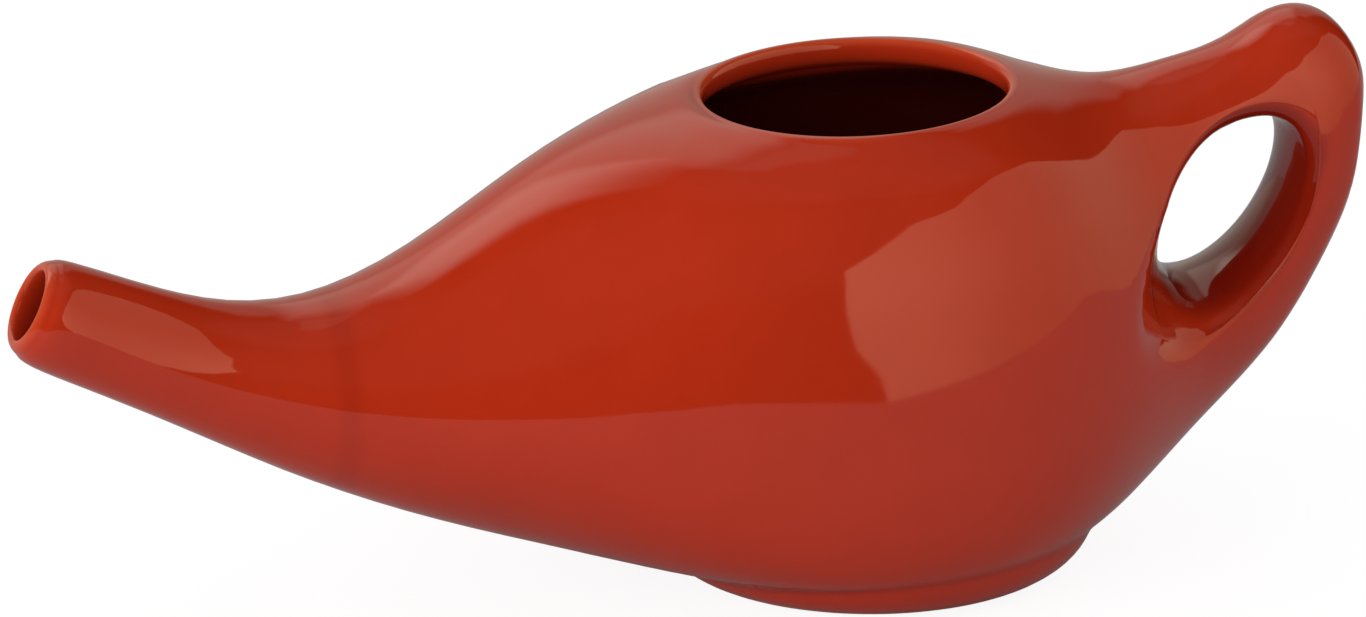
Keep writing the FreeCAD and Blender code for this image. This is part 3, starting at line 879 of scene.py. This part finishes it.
@dataclass
class Studio:
    """Camera, table, lamps and what the glaze mirrors."""

    # Camera: degrees, metres and pixels; axis_pixel is where the pot's origin falls in the picture
    azimuth: float = -14.35
    elevation: float = 19.77
    distance: float = 2500 * MM
    focal_pixels: float = 18300
    axis_pixel: tuple[float, float] = (870.9, 554.3)
    picture: tuple[int, int] = (1366, 617)
    sensor: float = 36
    # Fill light, and the table from left to right and from front to back
    fill: str = "b6b6b6"
    table_x: tuple[float, float] = (-600 * MM, 600 * MM)
    table_y: tuple[float, float] = (-190 * MM, 500 * MM)
    table_grey: float = 0.6
    table_paper: str = "787878"
    table_glow: float = 0.9
    # Dome and softbox, in metres and degrees; radiances are 1 for white
    dome_radius: float = 24
    wall_tint: str = "fff8e8"
    glows: tuple[Glow, ...] = (
        Glow(0, 90, 180, 26, 20, 0.15),
        Glow(-40, 40, 60, 24, 16, 0.07),
        Glow(-174, 42, 22, 20, 18, 1.0),
        Glow(-176, 8, 32, 24, 22, 0.5),
        Glow(-145, 42, 16, 13, 18, 1.9),
        Glow(-170, 74, 22, 10, 12, 0.4),
        Glow(157, 30, 12, 24, 10, 0.4),
        Glow(-138, 10, 14, 20, 14, 0.3),
    )
    box_distance: float = 5
    box_middle: tuple[float, float] = (49, 18)
    box_corners: tuple[tuple[float, float], ...] = (
        (-3, 17.5), (1, 24), (6.5, 36.5), (24, 48), (61, 59), (105, 46), (113, 26), (116, 0), (116, -16),
        (8, -16), (6, -13.5), (4.5, -10), (1.4, -5.3), (0.5, -1.4), (-0.7, 3.8), (-1.8, 10.7))
    box_near: float = 2.0
    box_far: float = 1.05
    box_low: float = 0.84
    box_tint: str = "ffd5b3"
    lamps: tuple[Lamp, ...] = (
        Lamp("left_lamp", -90, 5, 18),
        Lamp("key_lamp", -50, 25, 6.5),
        Lamp("front_lamp", -10, 10, 8),
        Lamp("right_lamp", 100, 30, 2.7),
    )
    lamp_aim: float = 35 * MM

    def camera(self) -> None:
        """Places the camera where the photograph was taken from, aimed at the picture's middle."""
        back = direction(self.azimuth, self.elevation)
        right = direction(self.azimuth + 90, 0)
        up = back.cross(right)
        aside = (self.picture[0] / 2 - self.axis_pixel[0]) / self.focal_pixels
        above = (self.axis_pixel[1] - self.picture[1] / 2) / self.focal_pixels
        look = (right * aside + up * above - back).normalized()
        level = (right - look * right.dot(look)).normalized()
        data = bpy.data.cameras.new("camera")
        data.sensor_width = self.sensor
        stretch = math.sqrt(1 + aside ** 2 + above ** 2)
        data.lens = self.sensor * self.focal_pixels * stretch / self.picture[0]
        data.clip_start = 0.1
        data.clip_end = 3 * self.dome_radius
        camera = bpy.data.objects.new("camera", data)
        turned = Matrix((level, level.cross(look), -look)).transposed().to_4x4()
        camera.matrix_world = Matrix.Translation(back * self.distance) @ turned
        bpy.context.scene.collection.objects.link(camera)
        bpy.context.scene.camera = camera

    def world(self) -> None:
        """Makes the surroundings: white to the camera, a soft fill on the pot, nothing in the gloss."""
        world = bpy.data.worlds.new("studio")
        world.use_nodes = True
        tree = world.node_tree
        tree.nodes.clear()
        path = add_node(tree, "ShaderNodeLightPath")
        colour = add_node(tree, "ShaderNodeMix", {
            "Factor": path.outputs["Is Camera Ray"], "A": linear(self.fill),
            "B": linear("ffffff")}, data_type="RGBA")
        background = add_node(tree, "ShaderNodeBackground", {
            "Color": colour.outputs["Result"], "Strength": 1.0})
        add_node(tree, "ShaderNodeOutputWorld", {"Surface": background.outputs["Background"]})
        world.cycles_visibility.glossy = False
        bpy.context.scene.world = world

    def only_mirrored(self, piece: bpy.types.Object) -> None:
        """Lets a light surface be seen in the gloss and nowhere else."""
        piece.visible_camera = piece.visible_diffuse = piece.visible_shadow = False
        piece.visible_transmission = piece.visible_volume_scatter = False

    def light_material(self, name: str) -> tuple[bpy.types.Material, bpy.types.NodeTree]:
        """Starts a material for a surface that glows but isn't sampled as a lamp."""
        material, tree = new_material(name)
        material.cycles.emission_sampling = "NONE"
        return material, tree

    def glow(self, tree: bpy.types.NodeTree, tint: str, strength: bpy.types.NodeSocket) -> None:
        """Ends a light surface's material: its tint at a strength."""
        light = add_node(tree, "ShaderNodeEmission", {"Color": linear(tint), "Strength": strength})
        add_node(tree, "ShaderNodeOutputMaterial", {"Surface": light.outputs["Emission"]})

    def dome(self) -> None:
        """Makes the dome that carries the soft lights the glaze mirrors."""
        bpy.ops.object.select_all(action="DESELECT")
        bpy.ops.mesh.primitive_uv_sphere_add(segments=128, ring_count=96, radius=self.dome_radius,
                                             location=(0, 0, 0))
        piece = bpy.context.object
        piece.name = piece.data.name = "studio_dome"
        values = []
        for vertex in piece.data.vertices:
            azimuth = math.degrees(math.atan2(vertex.co.x, -vertex.co.y))
            elevation = math.degrees(math.asin(max(-1, min(1, vertex.co.z / self.dome_radius))))
            values.append(max(glow.at(azimuth, elevation) for glow in self.glows))
        mask = piece.data.attributes.new("radiance", "FLOAT", "POINT")
        mask.data.foreach_set("value", values)
        material, tree = self.light_material("lit_studio_walls")
        level = add_node(tree, "ShaderNodeAttribute", attribute_name="radiance")
        self.glow(tree, self.wall_tint, level.outputs["Fac"])
        piece.data.materials.append(material)
        self.only_mirrored(piece)

    def softbox(self) -> None:
        """Makes the big softbox at the right, whose sharp-edged mirror image lies across the bowl."""
        middle = direction(*self.box_middle)
        aside = direction(self.box_middle[0] + 90, 0)
        bpy.ops.object.select_all(action="DESELECT")
        bpy.ops.mesh.primitive_circle_add(vertices=len(self.box_corners), fill_type="NGON",
                                          location=(0, 0, 0))
        piece = bpy.context.object
        piece.name = piece.data.name = "softbox_cloth"
        for vertex, corner in zip(piece.data.vertices, self.box_corners):
            aim = direction(*corner)
            vertex.co = aim * self.box_distance / aim.dot(middle)
        material, tree = self.light_material("lit_softbox_cloth")
        place = add_node(tree, "ShaderNodeTexCoord").outputs["Object"]
        along = add_node(tree, "ShaderNodeVectorMath", {0: place, 1: aside}, operation="DOT_PRODUCT")
        height = add_node(tree, "ShaderNodeSeparateXYZ", {"Vector": place})
        spans = ((along.outputs["Value"], -1.2, -0.1, self.box_near, self.box_far),
                 (height.outputs["Z"], -0.2, 0.3, self.box_low, 1.0))
        shares = [add_node(tree, "ShaderNodeMapRange", {
            "Value": value, "From Min": start * self.box_distance, "From Max": end * self.box_distance,
            "To Min": first, "To Max": last}, interpolation_type="SMOOTHSTEP").outputs["Result"]
                  for value, start, end, first, last in spans]
        level = add_node(tree, "ShaderNodeMath", dict(enumerate(shares)), operation="MULTIPLY")
        self.glow(tree, self.box_tint, level.outputs["Value"])
        piece.data.materials.append(material)
        self.only_mirrored(piece)

    def table(self) -> None:
        """Makes the pale table: white to the camera with a faint shadow, grey to the gloss."""
        bpy.ops.object.select_all(action="DESELECT")
        bpy.ops.mesh.primitive_plane_add(size=1, location=(0, 0, 0))
        piece = bpy.context.object
        piece.name = piece.data.name = "table_top"
        for vertex in piece.data.vertices:
            vertex.co = (self.table_x[vertex.co.x > 0], self.table_y[vertex.co.y > 0], 0)
        material, tree = self.light_material("white_table_top")
        path = add_node(tree, "ShaderNodeLightPath")
        grey = add_node(tree, "ShaderNodeBsdfDiffuse", {"Color": (self.table_grey,) * 3 + (1,)})
        paper = add_node(tree, "ShaderNodeBsdfDiffuse", {"Color": linear(self.table_paper)})
        light = add_node(tree, "ShaderNodeEmission", {
            "Color": linear("ffffff"), "Strength": self.table_glow})
        white = add_node(tree, "ShaderNodeAddShader", {
            0: paper.outputs["BSDF"], 1: light.outputs["Emission"]})
        surface = add_node(tree, "ShaderNodeMixShader", {
            0: path.outputs["Is Camera Ray"], 1: grey.outputs["BSDF"], 2: white.outputs["Shader"]})
        add_node(tree, "ShaderNodeOutputMaterial", {"Surface": surface.outputs["Shader"]})
        piece.data.materials.append(material)

    def light(self, lamp: Lamp) -> None:
        """Adds a soft lamp that lights the clay and isn't mirrored."""
        data = bpy.data.lights.new(lamp.name, "AREA")
        data.shape = "DISK"
        data.size = lamp.width
        data.energy = lamp.power
        piece = bpy.data.objects.new(lamp.name, data)
        aim = direction(lamp.azimuth, lamp.elevation)
        piece.location = aim * lamp.distance + Vector((0, 0, self.lamp_aim))
        piece.rotation_euler = aim.to_track_quat("Z", "Y").to_euler()
        piece.visible_glossy = piece.visible_camera = False
        bpy.context.scene.collection.objects.link(piece)

    def build(self) -> None:
        """Sets up camera, surroundings, table, lamps and lights to mirror."""
        self.camera()
        self.world()
        self.table()
        self.dome()
        self.softbox()
        for lamp in self.lamps:
            self.light(lamp)
        bpy.context.scene.view_settings.view_transform = "Standard"


def main() -> None:
    """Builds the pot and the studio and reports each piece."""
    logging.basicConfig(level=logging.INFO, format="%(name)s: %(message)s")
    piece = Pot().build()
    log.info("%s: %d faces", piece.name, len(piece.data.polygons))
    studio = Studio()
    studio.build()
    log.info("studio: table, dome, softbox and %d lamps", len(studio.lamps))


if __name__ == "__main__":
    main()
